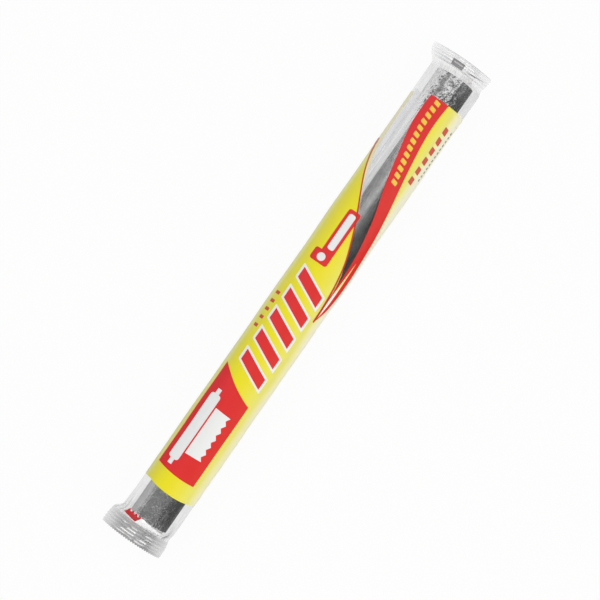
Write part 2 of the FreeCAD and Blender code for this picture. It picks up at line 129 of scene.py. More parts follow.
def sleeve_section(around):
    """Across, height and outward direction of the straight sleeve, at a distance round it from the crown."""
    side = np.where(around < 0, -1.0, 1.0)
    run = np.abs(around)
    on_crown = run < CROWN_ARC
    on_fold = (run >= CROWN_ARC) & (run < CROWN_ARC + FOLD_ARC)
    angle = np.where(on_crown, run / CROWN_RADIUS,
                     np.where(on_fold, CROWN_ANGLE + (run - CROWN_ARC) / FOLD_RADIUS,
                              math.pi - (HALF_GIRTH - run) / CROWN_RADIUS))
    radius = np.where(on_fold, FOLD_RADIUS, CROWN_RADIUS)
    centre_across = np.where(on_fold, FOLD_CENTRE, 0.0)
    drop = CROWN_RADIUS - HALF_HEIGHT
    centre_up = MIDDLE + np.where(on_fold, 0.0, np.where(on_crown, -drop, drop))
    across = centre_across + radius * np.sin(angle)
    up = centre_up + radius * np.cos(angle)
    return side * across, up, side * np.sin(angle), np.cos(angle)


def arch_section(around):
    """The same for an end seal, where the front and the back of the film lie together in an arch."""
    side = np.where(around < 0, -1.0, 1.0)
    run = np.abs(around)
    front = run <= HALF_GIRTH / 2
    share = np.where(front, run, HALF_GIRTH - run) / (HALF_GIRTH / 2)
    angle = side * share * ARCH_HALF_ANGLE
    apart = SEAL_THICKNESS / 2 * np.clip((1 - share) * 40, 0, 1)
    out = np.where(front, 1.0, -1.0)
    radius = ARCH_RADIUS + out * apart
    across = ARCH_SHIFT + radius * np.sin(angle)
    up = ARCH_TOP - ARCH_RADIUS + radius * np.cos(angle)
    return across, up, out * np.sin(angle), out * np.cos(angle)


def random_folds(count, reach, size, widest):
    """Folds that start at an end seal and run out along the sleeve: place, width, height, reach, slant."""
    return np.column_stack([
        rng.uniform(-HALF_GIRTH, HALF_GIRTH, count),
        rng.uniform(0.4 * widest, widest, count),
        size * rng.uniform(0.35, 1.0, count),
        reach * rng.uniform(0.3, 1.0, count),
        rng.uniform(-0.12, 0.12, count),
    ])


FOLDS = {
    -1: random_folds(40, 17 * MM, 0.5 * MM, 1.5 * MM),
    1: random_folds(18, 12 * MM, 0.45 * MM, 2.6 * MM),
}
WAVE_COUNT = 14
WAVES = np.column_stack([
    rng.uniform(30, 190, WAVE_COUNT),
    rng.integers(1, 7, WAVE_COUNT),
    rng.uniform(0, 2 * math.pi, WAVE_COUNT),
])
SLACK = 0.035 * MM


def fold_height(along, around):
    """How far the film's folds and slack stand out from its plain shape."""
    height = np.zeros_like(along)
    for side in (-1, 1):
        run = side * along
        # each fold rises towards its end seal, and dies out where the seal begins
        for place, width, size, reach, slant in FOLDS[side]:
            start = SLEEVE_HALF - reach
            rise = np.clip((run - start) / (reach + 2 * MM), 0, 1) ** 1.6
            fade = np.clip((SEAL_START + 0.8 * MM - run) / (2.6 * MM), 0, 1)
            offset = around - place - slant * (run - SLEEVE_HALF)
            offset = (offset + HALF_GIRTH) % (2 * HALF_GIRTH) - HALF_GIRTH
            height += size * rise * fade * np.exp(-(offset / width) ** 2)
    slack = np.zeros_like(along)
    for rate, turns, phase in WAVES:
        slack += np.sin(rate * along + turns * math.pi * around / HALF_GIRTH + phase)
    calm = np.clip((SLEEVE_HALF - np.abs(along)) / (6 * MM), 0, 1)
    return height + SLACK * calm * (slack + 3)


def ridge_height(run):
    """The crimp ridges across an end seal, at a distance from the pack's middle."""
    steps = (run - SEAL_START) / RIDGE_PITCH
    inside = (steps > 0) & (steps < RIDGES)
    return np.where(inside, RIDGE_HEIGHT * (0.5 - 0.5 * np.cos(2 * math.pi * steps)), 0.0)


def film_point(along, around, lift=0.0):
    """Places of points on the film: along the roll, round the sleeve from its crown, and off the film."""
    along, around = np.broadcast_arrays(np.asarray(along, float), np.asarray(around, float))
    run = np.abs(along)
    side = np.where(along < 0, -1, 1)
    share = eased((run - SHOULDER_START) / (SHOULDER_END - SHOULDER_START))
    tube = sleeve_section(around)
    arch = arch_section(around)
    across, up, out_across, out_up = [(1 - share) * a + share * b for a, b in zip(tube, arch)]
    off = lift + fold_height(along, around)
    across = across + off * out_across
    up = up + off * out_up
    # the shoulders draw in, and widen again to the seals
    bow = across - ARCH_SHIFT
    narrow = np.where(side < 0, WAIST_LEFT, np.where(bow > 0, WAIST_RIGHT_TOP, WAIST_RIGHT_FOOT))
    widened = np.clip((run - SLEEVE_HALF) / WAIST_LENGTH, 0, 1)
    bow = bow * (1 - narrow * share * (1 - widened) ** 1.5)
    across = ARCH_SHIFT + bow
    ridge = ridge_height(run)
    up = up + ridge * np.cos(bow / ARCH_RADIUS)
    across = across + ridge * np.sin(bow / ARCH_RADIUS)
    # the seals curl down
    past = np.clip(run - CURL_START, 0, None)
    bend = np.where(side > 0, CURL_RIGHT, CURL_LEFT) / (SEAL_END - CURL_START)
    turned = bend * past
    run = np.where(past > 0, CURL_START + np.sin(turned) / bend, run)
    up = np.maximum(up - (1 - np.cos(turned)) / bend, FLOOR_GAP)
    return np.stack([side * run, across, up], axis=-1)


def around_from_across(across):
    """The distance round the sleeve of a place on its front, from how far it lies across."""
    across = np.asarray(across, float)
    limit = CROWN_RADIUS * math.sin(CROWN_ANGLE)
    on_crown = CROWN_RADIUS * np.arcsin(np.clip(across, -limit, limit) / CROWN_RADIUS)
    past = np.clip((np.abs(across) - limit) / (HALF_WIDTH - limit), 0, 1)
    return on_crown + np.sign(across) * past * FOLD_ARC / 2


# Modelling helpers

def deselect_all():
    bpy.ops.object.select_all(action="DESELECT")


def activate(piece):
    deselect_all()
    piece.select_set(True)
    bpy.context.view_layer.objects.active = piece


def coordinates(piece):
    places = np.empty(len(piece.data.vertices) * 3)
    piece.data.vertices.foreach_get("co", places)
    return places.reshape(-1, 3)


def move_points(piece, places):
    piece.data.vertices.foreach_set("co", np.asarray(places, float).ravel())
    piece.data.update()


def new_grid(name, columns, rows):
    """A flat grid of faces, one unit wide and deep, that a later step lays in place."""
    deselect_all()
    bpy.ops.mesh.primitive_grid_add(x_subdivisions=columns, y_subdivisions=rows, size=1)
    piece = bpy.context.object
    piece.name = name
    piece.data.name = name
    return piece


def grid_shares(piece):
    """How far each point of a new grid lies along it and across it, from 0 to 1."""
    places = coordinates(piece)
    return places[:, 0] + 0.5, places[:, 1] + 0.5


def edit(piece, *steps):
    """Runs edit-mode steps on the whole of a piece."""
    activate(piece)
    bpy.ops.object.mode_set(mode="EDIT")
    bpy.ops.mesh.select_all(action="SELECT")
    for step in steps:
        step()
    bpy.ops.object.mode_set(mode="OBJECT")


def select_faces(piece, test):
    """Selects the faces whose middle and normal pass a test, and goes into edit mode."""
    activate(piece)
    bpy.ops.object.mode_set(mode="EDIT")
    bpy.ops.mesh.select_mode(type="FACE")
    bpy.ops.mesh.select_all(action="DESELECT")
    bpy.ops.object.mode_set(mode="OBJECT")
    for face in piece.data.polygons:
        face.select = bool(test(face.center, face.normal))
    bpy.ops.object.mode_set(mode="EDIT")


def divide_edges(piece, test, cuts):
    """Divides the edges whose middles and runs, given as arrays, pass a test."""
    activate(piece)
    bpy.ops.object.mode_set(mode="EDIT")
    bpy.ops.mesh.select_mode(type="EDGE")
    bpy.ops.mesh.select_all(action="DESELECT")
    bpy.ops.object.mode_set(mode="OBJECT")
    ends = np.empty(len(piece.data.edges) * 2, int)
    piece.data.edges.foreach_get("vertices", ends)
    first, last = coordinates(piece)[ends.reshape(-1, 2)].transpose(1, 0, 2)
    piece.data.edges.foreach_set("select", test((first + last) / 2, last - first))
    bpy.ops.object.mode_set(mode="EDIT")
    bpy.ops.mesh.subdivide(number_cuts=cuts)
    bpy.ops.object.mode_set(mode="OBJECT")


def close_seams(piece, distance=0.004 * MM):
    edit(piece,
         lambda: bpy.ops.mesh.remove_doubles(threshold=distance),
         lambda: bpy.ops.mesh.normals_make_consistent(inside=False))


def smooth(piece, degrees=40):
    activate(piece)
    bpy.ops.object.shade_smooth_by_angle(angle=math.radians(degrees))


def give_thickness(piece, thickness):
    """Thickens a sheet away from the roll. Its hidden side takes the second material, where there is one."""
    activate(piece)
    bpy.ops.object.modifier_add(type="SOLIDIFY")
    piece.modifiers[-1].thickness = thickness
    piece.modifiers[-1].offset = 1
    piece.modifiers[-1].material_offset = -1
    piece.modifiers[-1].material_offset_rim = 0
    bpy.ops.object.modifier_apply(modifier=piece.modifiers[-1].name)


def face_outwards(piece):
    """Turns an open sheet so that its faces point away from the roll."""
    highest = max(piece.data.polygons, key=lambda face: face.center.z)
    if highest.normal.z < 0:
        edit(piece, lambda: bpy.ops.mesh.flip_normals())


def join(name, pieces):
    deselect_all()
    for piece in pieces:
        piece.select_set(True)
    bpy.context.view_layer.objects.active = pieces[0]
    bpy.ops.object.join()
    joined = bpy.context.object
    joined.name = name
    joined.data.name = name
    return joined


def finish_piece(piece, material):
    piece.data.materials.clear()
    piece.data.materials.append(material)
    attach(piece, "root")


def keep_flat_place(piece, along, around):
    """Keeps each point's place on the web, laid out flat, as the piece's UV map."""
    corners = np.empty(len(piece.data.loops), int)
    piece.data.loops.foreach_get("vertex_index", corners)
    flat = np.column_stack([along, around])[corners]
    piece.data.uv_layers[0].name = "web"
    piece.data.uv_layers[0].data.foreach_set("uv", flat.ravel())


# Materials

def node_adder(tree):
    """A function that adds a node to a tree, and sets or links the node's inputs."""
    def add(kind, inputs=None, **settings):
        node = tree.nodes.new(kind)
        for key, setting in settings.items():
            setattr(node, key, setting)
        for key, source in (inputs or {}).items():
            if hasattr(source, "is_output"):
                tree.links.new(source, node.inputs[key])
            else:
                node.inputs[key].default_value = source
        return node

    return add


def new_material(name):
    """A material, its shader, and functions that add a node to it and wire a value to its shader."""
    material = bpy.data.materials.new(name)
    material.use_nodes = True
    tree = material.node_tree
    tree.nodes.clear()
    add = node_adder(tree)
    shader = add("ShaderNodeBsdfPrincipled")
    add("ShaderNodeOutputMaterial", {"Surface": shader.outputs["BSDF"]})

    def wire(source, socket):
        tree.links.new(source, shader.inputs[socket])

    return material, shader, add, wire


def object_place(add, scale):
    """Object coordinates, scaled along each axis, in patterns to the metre."""
    place = add("ShaderNodeTexCoord")
    return add("ShaderNodeMapping", {"Vector": place.outputs["Object"], "Scale": scale}).outputs["Vector"]


def web_place(add, scale):
    """The place on the film's web, laid out flat, scaled along it and across it."""
    place = add("ShaderNodeUVMap", uv_map="web")
    return add("ShaderNodeMapping", {"Vector": place.outputs["UV"], "Scale": scale}).outputs["Vector"]


def math_node(add, operation, first, second=0.0, third=0.0):
    return add("ShaderNodeMath", {0: first, 1: second, 2: third}, operation=operation).outputs[0]


def absolute(add, source):
    return math_node(add, "ABSOLUTE", source)


def noise(add, place, detail=2.0, distortion=0.0):
    """Cloudy noise from 0 to 1, over a place that is already scaled."""
    return add("ShaderNodeTexNoise", {"Vector": place, "Scale": 1.0, "Detail": detail,
                                      "Distortion": distortion}).outputs["Fac"]


def blend(add, share, first, second):
    """The first value where the share is 0, and the second where it is 1."""
    return add("ShaderNodeMix", {0: share, 2: first, 3: second}, data_type="FLOAT").outputs[0]


def grey(add, tone):
    return add("ShaderNodeCombineColor", {"Red": tone, "Green": tone, "Blue": tone}).outputs["Color"]


def spread_values(add, source, low, high, to_low, to_high):
    node = add("ShaderNodeMapRange", {"Value": source, "From Min": low, "From Max": high,
                                      "To Min": to_low, "To Max": to_high})
    return node.outputs["Result"]


def grey_stops(stops):
    return [(position, (tone, tone, tone)) for position, tone in stops]


def colour_stops(add, source, stops):
    """A colour ramp over a value from 0 to 1."""
    ramp = add("ShaderNodeValToRGB", {"Fac": source})
    elements = ramp.color_ramp.elements
    elements[0].position, elements[0].color = stops[0][0], (*stops[0][1], 1)
    elements[1].position, elements[1].color = stops[-1][0], (*stops[-1][1], 1)
    for position, colour in stops[1:-1]:
        elements.new(position).color = (*colour, 1)
    return ramp.outputs["Color"]


def web_distances(add):
    """A place on the web: how far from the pack's middle, how far along the roll, and how far round it."""
    place = add("ShaderNodeUVMap", uv_map="web")
    parts = add("ShaderNodeSeparateXYZ", {"Vector": place.outputs["UV"]})
    return absolute(add, parts.outputs["X"]), parts.outputs["X"], parts.outputs["Y"]


def crease_line(add, along, around, first, last):
    """1 on a fine crease between two places on the web, given in millimetres, and 0 beside it."""
    slope = (last[0] - first[0]) / (last[1] - first[1])
    offset = math_node(add, "MULTIPLY_ADD", around, -slope, (slope * first[1] - first[0]) * MM)
    beside = absolute(add, math_node(add, "ADD", along, offset))
    line = spread_values(add, beside, 0.1 * MM, 0.6 * MM, 1.0, 0.0)
    half = abs(last[1] - first[1]) / 2 * MM
    from_middle = math_node(add, "SUBTRACT", around, (first[1] + last[1]) / 2 * MM)
    inside = spread_values(add, absolute(add, from_middle), 0.6 * half, half, 1.0, 0.0)
    return math_node(add, "MULTIPLY", line, inside)


def clear_film_material():
    """Clear film: hardly there where it lies smooth, with painted highlights and painted shade along its fine
    folds near the ends, painted light over its right shoulder, and painted shade along a fine crease there.
    """
    material, shader, add, wire = new_material("clear_film")
    shader.inputs["IOR"].default_value = 1.9
    shader.inputs["Specular IOR Level"].default_value = 0.9
    run, along, around = web_distances(add)
    near_end = spread_values(add, run, 0.124, 0.152, 0.0, 1.0)
    calmer = spread_values(add, along, 0.126, 0.146, 1.0, 0.45)
    long_folds = noise(add, web_place(add, (70, 620, 1)), distortion=0.6)
    from_line = absolute(add, math_node(add, "SUBTRACT", long_folds, 0.5))
    line = spread_values(add, from_line, 0.0, 0.05, 1.0, 0.0)
    creased = math_node(add, "MULTIPLY", math_node(add, "MULTIPLY", line, near_end), calmer)
    # painted highlights and painted shade in patches along the fine folds
    patches = noise(add, web_place(add, (160, 260, 1)))
    tone = spread_values(add, patches, 0.42, 0.60, 0.18, 0.95)
    slope = add("ShaderNodeAttribute", attribute_name="fold_slope").outputs["Fac"]
    steep = math_node(add, "MULTIPLY", absolute(add, slope), calmer)
    # painted light by each fold's slope: lighter on one side of the fold, darker on the other
    lit = spread_values(add, slope, -0.4, 0.4, 0.12, 1.0)
    # painted light: the film is painted lighter over the roll's right end, and much lighter over the right
    # shoulder
    smooth_tone = math_node(add, "ADD", spread_values(add, along, 0.130, 0.147, 0.24, 0.42),
                            spread_values(add, along, 0.1490, 0.1525, 0.0, 0.38))
    shade = blend(add, creased, blend(add, steep, smooth_tone, lit), tone)
    # painted shade along a fine crease on the right shoulder
    long_crease = crease_line(add, along, around, (150.6, -7.0), (152.9, -12.0))
    kept_light = math_node(add, "MULTIPLY_ADD", long_crease, -0.8, 1.0)
    wire(grey(add, math_node(add, "MULTIPLY", shade, kept_light)), "Base Color")
    density = spread_values(add, along, 0.130, 0.150, 0.105, 0.175)
    density = math_node(add, "MULTIPLY_ADD", steep, 0.38, density)
    density = math_node(add, "MULTIPLY_ADD", long_crease, 0.22, density)
    wire(math_node(add, "MULTIPLY_ADD", creased, 0.24, density), "Alpha")
    ripple = noise(add, web_place(add, (90, 420, 1)), detail=3.0)
    bump = add("ShaderNodeBump", {"Strength": 0.4, "Distance": 0.0005, "Height": ripple})
    wire(bump.outputs["Normal"], "Normal")
    wire(spread_values(add, ripple, 0.3, 0.7, 0.05, 0.2), "Roughness")
    return material


def crimped_film_material():
    """The two films pressed together: painted highlights along the crimp ridges, in broken dashes, and greyer
    between, with painted shade on the left seal and along a fine crease on the right seal.
    """
    material, shader, add, wire = new_material("crimped_film")
    shader.inputs["IOR"].default_value = 1.9
    shader.inputs["Specular IOR Level"].default_value = 0.9
    run, along, around = web_distances(add)
    steps = math_node(add, "MULTIPLY_ADD", run, 1 / RIDGE_PITCH, -SEAL_START / RIDGE_PITCH)
    phase = math_node(add, "MULTIPLY", steps, 2 * math.pi)
    wave = math_node(add, "MULTIPLY_ADD", math_node(add, "COSINE", phase), -0.5, 0.5)
    dashes = noise(add, web_place(add, (330, 150, 1)), detail=1.0)
    broken = spread_values(add, dashes, 0.44, 0.52, 0.0, 1.0)
    # the dashes are plain on the outer ridges over the middle, and part where the long seal crosses
    outer = spread_values(add, steps, 0.9, 1.7, 0.4, 1.0)
    middle = spread_values(add, absolute(add, around), 0.009, 0.012, 1.0, 0.45)
    crossing = absolute(add, math_node(add, "ADD", around, 0.0015))
    parted = spread_values(add, crossing, 0.0003, 0.0010, 0.0, 1.0)
    strength = math_node(add, "MULTIPLY", math_node(add, "MULTIPLY", outer, middle), parted)
    # painted highlights on the crimp ridges
    bright = math_node(add, "MULTIPLY", math_node(add, "MULTIPLY", wave, broken), strength)
    cloudy = noise(add, web_place(add, (120, 90, 1)), detail=3.0)
    denser = spread_values(add, cloudy, 0.35, 0.65, -0.05, 0.08)
    # painted shade: the left seal is greyer between its ridges than the right seal
    dark = math_node(add, "ADD", spread_values(add, along, -0.15, 0.15, 0.02, 0.66), denser)
    light = spread_values(add, along, -0.15, 0.15, 1.0, 0.95)
    shade = blend(add, bright, dark, light)
    by_the_cut = spread_values(add, run, SEAL_END - 2.4 * MM, SEAL_END - 0.4 * MM, 1.0, 0.35)
    # painted shade along a fine crease on the right seal
    long_crease = crease_line(add, along, around, (156.3, -5.0), (158.7, -20.0))
    kept_light = math_node(add, "MULTIPLY_ADD", long_crease, -0.8, 1.0)
    kept_light = math_node(add, "MULTIPLY", by_the_cut, kept_light)
    wire(grey(add, math_node(add, "MULTIPLY", shade, kept_light)), "Base Color")
    between = math_node(add, "MULTIPLY_ADD", long_crease, 0.30, math_node(add, "ADD", denser, 0.41))
    density = math_node(add, "MULTIPLY_ADD", bright, 0.50, between)
    from_side = absolute(add, math_node(add, "SUBTRACT", absolute(add, around), HALF_GIRTH / 2))
    thinner = spread_values(add, from_side, 0.0, 0.013, 0.35, 1.0)
    wire(math_node(add, "MULTIPLY", density, thinner), "Alpha")
    wire(spread_values(add, dashes, 0.3, 0.7, 0.10, 0.30), "Roughness")
    bump = add("ShaderNodeBump", {"Strength": 0.3, "Distance": 0.0004, "Height": cloudy})
    wire(bump.outputs["Normal"], "Normal")
    return material


def ink_material(name, stops, axis="Y", reach=HALF_WIDTH, painted_highlight_widening=None, glow=None):
    """Ink on film. Its colour changes across the pack: the yellow has a painted highlight on its pale -Y
    side, where the foil no longer backs the film, and the yellow and the red darken with painted shade
    towards the +Y side. The pale -Y side may widen towards the right. A glow stands for light that comes
    through the film from behind."""
    material, shader, add, wire = new_material(name)
    place = add("ShaderNodeTexCoord")
    parts = add("ShaderNodeSeparateXYZ", {"Vector": place.outputs["Object"]})
    blur = noise(add, object_place(add, (30, 140, 140)), detail=3.0)
    wander = math_node(add, "MULTIPLY_ADD", blur, 0.0024, -0.0012)
    across = math_node(add, "ADD", parts.outputs[axis], wander)
    # the painted highlight on the pale -Y side widens towards the right
    if painted_highlight_widening:
        below = math_node(add, "MINIMUM", across, 0.0)
        widened = spread_values(add, parts.outputs["X"], -0.03, 0.11, 0.0, painted_highlight_widening)
        across = math_node(add, "MULTIPLY_ADD", below, widened, across)
    share = spread_values(add, across, -reach, reach, 0.0, 1.0)
    wire(colour_stops(add, share, stops), "Base Color")
    grain = noise(add, object_place(add, (1500, 1500, 1500)))
    wire(spread_values(add, grain, 0.3, 0.7, 0.34, 0.5), "Roughness")
    shader.inputs["Specular IOR Level"].default_value = 0.4
    if glow:
        shader.inputs["Emission Color"].default_value = (1, 1, 1, 1)
        shader.inputs["Emission Strength"].default_value = glow
    bump = add("ShaderNodeBump", {"Strength": 0.12, "Distance": 0.0003, "Height": blur})
    wire(bump.outputs["Normal"], "Normal")
    return material


# How creased the foil's right end is, and how far painted shade darkens it, from its -Y flank round to its +Y
# flank
FOIL_ROUGH = [(0.0, 0.15), (0.26, 0.2), (0.31, 1.0), (0.62, 1.0), (0.66, 0.15), (0.75, 0.15), (0.80, 0.7),
              (1.0, 0.4)]
FOIL_PAINTED_SHADE = [(0.0, 0.4), (0.18, 0.38), (0.25, 0.5), (0.33, 1.0), (0.63, 1.0), (0.66, 0.5), (0.71, 0.5),
              (0.74, 0.8), (0.79, 1.0), (1.0, 1.0)]


def foil_material():
    """Aluminium foil: finely mottled on its left, creased on its right, with faint lines along the web, and
    painted shade on its right end and in the window.
    """
    material, shader, add, wire = new_material("aluminium_foil")
    shader.inputs["Metallic"].default_value = 1.0
    place = add("ShaderNodeTexCoord")
    parts = add("ShaderNodeSeparateXYZ", {"Vector": place.outputs["Object"]})
    along, across = parts.outputs["X"], parts.outputs["Y"]
    run = absolute(add, along)
    warp = add("ShaderNodeTexNoise", {"Vector": object_place(add, (170, 170, 170)), "Scale": 1.0,
                                      "Detail": 4.0})
    bent = add("ShaderNodeVectorMath", {0: warp.outputs["Color"], 2: place.outputs["Object"]},
               operation="MULTIPLY_ADD")
    bent.inputs[1].default_value = (0.004, 0.004, 0.004)
    drawn_out = add("ShaderNodeMapping", {"Vector": bent.outputs[0], "Scale": (0.45, 1, 1)}).outputs["Vector"]
    creases = add("ShaderNodeTexVoronoi", {"Vector": drawn_out, "Scale": 260.0},
                  feature="DISTANCE_TO_EDGE").outputs["Distance"]
    crumple = add("ShaderNodeTexNoise", {"Vector": drawn_out, "Scale": 560.0, "Detail": 2.0}).outputs["Fac"]
    mottle = add("ShaderNodeTexVoronoi", {"Vector": bent.outputs[0], "Scale": 1100.0}).outputs["Distance"]
    streaks = noise(add, object_place(add, (16, 520, 520)), detail=4.0)
    # the right end is creased along its middle and smoother on its -Y flank; painted shade darkens that flank
    # and a band on its +Y side
    jagged = math_node(add, "MULTIPLY_ADD", warp.outputs["Fac"], 0.005, -0.0025)
    flank = spread_values(add, math_node(add, "ADD", across, jagged), -ROLL_RADIUS, ROLL_RADIUS, 0.0, 1.0)
    rough = colour_stops(add, flank, grey_stops(FOIL_ROUGH))
    painted_shade = colour_stops(add, flank, grey_stops(FOIL_PAINTED_SHADE))
    # in the window the -Y flank lies in the shade of the printed band
    near_band = math_node(add, "MULTIPLY", spread_values(add, along, 0.070, 0.100, 1.0, 0.0),
                          spread_values(add, along, -0.02, 0.0, 0.0, 1.0))
    in_shade = math_node(add, "MULTIPLY", near_band, spread_values(add, across, -0.0035, 0.0, 1.0, 0.0))
    at_right = spread_values(add, along, 0.122, 0.138, 0.02, 1.0)
    at_ends = spread_values(add, run, 0.110, 0.135, 0.10, 1.0)
    edges = spread_values(add, creases, 0.0, 0.35, 0.0, 0.6)
    deep = math_node(add, "MULTIPLY", math_node(add, "MULTIPLY_ADD", crumple, 1.7, edges), at_right)
    deep = math_node(add, "MULTIPLY", deep, rough)
    calm = blend(add, at_right, 1.0, rough)
    fine = math_node(add, "MULTIPLY", math_node(add, "MULTIPLY", mottle, 0.10), at_ends)
    lines = math_node(add, "MULTIPLY", streaks, spread_values(add, at_right, 0.02, 1.0, 0.30, 0.12))
    shallow = math_node(add, "MULTIPLY", math_node(add, "ADD", fine, lines), calm)
    height = math_node(add, "ADD", deep, shallow)
    bump = add("ShaderNodeBump", {"Strength": 0.8, "Distance": 0.0014, "Height": height})
    wire(bump.outputs["Normal"], "Normal")
    tone = spread_values(add, streaks, 0.3, 0.7, 0.80, 0.94)
    tone = math_node(add, "MULTIPLY", tone, blend(add, at_right, 1.0, painted_shade))
    tone = math_node(add, "MULTIPLY", tone, math_node(add, "MULTIPLY_ADD", in_shade, -0.5, 1.0))
    wire(grey(add, tone), "Base Color")
    wire(spread_values(add, warp.outputs["Fac"], 0.3, 0.7, 0.14, 0.26), "Roughness")
    return material


def board_material():
    """Grey-brown paper board, wound on a slant, with its fibres showing."""
    material, _, add, wire = new_material("paper_board")
    fibre = noise(add, object_place(add, (500, 2200, 2200)), detail=6.0)
    winding = add("ShaderNodeTexWave", {"Vector": object_place(add, (40, 22, 22)), "Scale": 1.0,
                                        "Distortion": 0.4}, bands_direction="DIAGONAL").outputs["Fac"]
    wire(colour_stops(add, fibre, [(0.0, (0.27, 0.20, 0.13)), (1.0, (0.50, 0.40, 0.29))]), "Base Color")
    height = math_node(add, "MULTIPLY_ADD", winding, 0.4, fibre)
    bump = add("ShaderNodeBump", {"Strength": 0.4, "Distance": 0.0003, "Height": height})
    wire(bump.outputs["Normal"], "Normal")
    wire(spread_values(add, fibre, 0.3, 0.7, 0.75, 0.95), "Roughness")
    return material


# The film

def stations_along():
    """Where the film has its rows of points: close together at the seals and shoulders."""
    edge = SEAL_END
    first_tooth = edge - TOOTH_DEPTH
    crimp = np.arange(SEAL_START, first_tooth - 0.1 * MM, RIDGE_PITCH / 7)
    half = np.concatenate([
        np.linspace(0, 124 * MM, 56, endpoint=False),
        np.linspace(124 * MM, 148 * MM, 24, endpoint=False),
        np.linspace(148 * MM, SEAL_START, 20, endpoint=False),
        crimp,
        [first_tooth, edge - 0.02 * MM, edge],
    ])
    return np.concatenate([-half[:0:-1], half])


def make_film():
    """The wrapper: one web, closed round the roll and pressed together at its toothed ends."""
    rows = stations_along()
    columns = 8 * TEETH
    film = new_grid("film", len(rows) - 1, columns)
    share_along, share_around = grid_shares(film)
    index = np.rint(share_along * (len(rows) - 1)).astype(int)
    along = rows[index]
    around = (share_around - 0.5) * 2 * HALF_GIRTH
    keep_flat_place(film, along, around)
    # the last rows follow the teeth of the cut edge
    mirrored = np.sign(around) * (HALF_GIRTH - np.abs(around))
    front = np.where(np.abs(around) <= HALF_GIRTH / 2, around, mirrored)
    saw = np.abs((front / HALF_GIRTH * TEETH) % 1 - 0.5) * 2
    last = np.abs(along) > SEAL_END - 0.5 * TOOTH_DEPTH
    along = np.where(last, np.sign(along) * (np.abs(along) - TOOTH_DEPTH * saw), along)
    places = film_point(along, around)
    # the front and the back meet at the cut edge
    edge = (index == 0) | (index == len(rows) - 1)
    other = np.where(around < 0, -1.0, 1.0) * (HALF_GIRTH - np.abs(around))
    facing = film_point(along, other)
    places[edge] = (places[edge] + facing[edge]) / 2
    move_points(film, places)
    step = 0.1 * MM
    slope = (fold_height(along, around + step) - fold_height(along, around - step)) / (2 * step)
    kept = film.data.attributes.new("fold_slope", "FLOAT", "POINT")
    kept.data.foreach_set("value", np.clip(slope / 0.4, -1, 1))
    close_seams(film)
    smooth(film, 55)
    finish_piece(film, materials["film"])
    crimped = np.abs(coordinates(film)[:, 0])
    film.data.materials.append(materials["crimped"])
    for face in film.data.polygons:
        if crimped[list(face.vertices)].min() > SEAL_START - 0.2 * MM:
            face.material_index = 1
    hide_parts("film_wrapper")


def make_fin():
    """The long seal, folded flat under the sleeve and pressed on across both end seals."""
    rows = stations_along()[2:-2]
    fin = new_grid("back_fin", len(rows) - 1, 10)
    share_along, share_across = grid_shares(fin)
    along = rows[np.rint(share_along * (len(rows) - 1)).astype(int)]
    share = eased((np.abs(along) - SLEEVE_HALF + 3 * MM) / (SEAL_START - SLEEVE_HALF + 3 * MM))
    on_sleeve = (-5.5 + 8.0 * share_across) * MM
    on_seal = (-12.4 + 8.0 * share_across) * MM
    across = (1 - share) * on_sleeve + share * on_seal
    around = np.where(across < 0, -HALF_GIRTH - across, HALF_GIRTH - across)
    keep_flat_place(fin, along, across)
    web = film_point(along, around, 0.12 * MM)
    flat = np.stack([along, across, np.full_like(along, 0.24 * MM)], axis=-1)
    places = (1 - share)[:, None] * flat + share[:, None] * web
    places[:, 2] = np.maximum(places[:, 2], 0.2 * MM)
    move_points(fin, places)
    face_outwards(fin)
    give_thickness(fin, -0.2 * MM)
    close_seams(fin)
    smooth(fin, 40)
    finish_piece(fin, materials["fin"])


# The print

def smooth_line(*stations):
    """A curve through places along and across, in millimetres, each with the curve's slope there. It is given
    back as a function of the place along, in metres."""
    along, across, slope = np.array(stations).T
    along, across = along * MM, across * MM

    def at(place):
        place = np.clip(place, along[0], along[-1])
        index = np.clip(np.searchsorted(along, place, side="right") - 1, 0, len(along) - 2)
        width = along[index + 1] - along[index]
        step = (place - along[index]) / width
        return ((2 * step ** 3 - 3 * step ** 2 + 1) * across[index]
                + (step ** 3 - 2 * step ** 2 + step) * width * slope[index]
                + (3 * step ** 2 - 2 * step ** 3) * across[index + 1]
                + (step ** 3 - step ** 2) * width * slope[index + 1])

    return at


BAND_TOP = smooth_line(
    (-7.1, -12.2, 0.0), (18.6, -11.6, 0.02), (40.0, -10.3, 0.13), (57.1, -7.4, 0.22), (78.6, -1.4, 0.26),
    (100.0, 3.3, 0.22), (114.3, 6.0, 0.12), (124.0, 6.4, 0.0), (134.2, 6.1, -0.03))
BAND_FOOT = smooth_line(
    (-7.1, -12.2, -0.30), (4.3, -14.9, -0.10), (22.0, -15.6, 0.0), (50.0, -14.1, 0.11), (71.4, -11.1, 0.16),
    (96.3, -7.0, 0.15), (122.5, -4.8, 0.0), (134.2, -5.4, -0.07))
WINDOW_TOP = smooth_line(
    (14.3, -11.6, 0.06), (32.0, -7.7, 0.31), (52.0, -0.35, 0.46), (63.5, 5.1, 0.46), (70.0, 7.7, 0.34),
    (78.5, 10.3, 0.30), (86.5, 12.5, 0.24), (94.2, 13.8, 0.08), (107.7, 14.4, 0.03), (134.2, 14.6, 0.0))
THIN_LINE = smooth_line(
    (-7.1, -12.15, 0.0), (11.4, -11.2, 0.09), (25.7, -9.0, 0.20), (40.0, -4.9, 0.36), (57.1, 2.3, 0.47),
    (71.4, 9.0, 0.43), (85.7, 14.3, 0.26), (100.0, 16.1, 0.03))
SLIVER_TOP = smooth_line(
    (-3.0, -12.7, 0.0), (8.0, -12.4, 0.0), (20.0, -12.7, -0.03), (34.0, -13.1, -0.03))
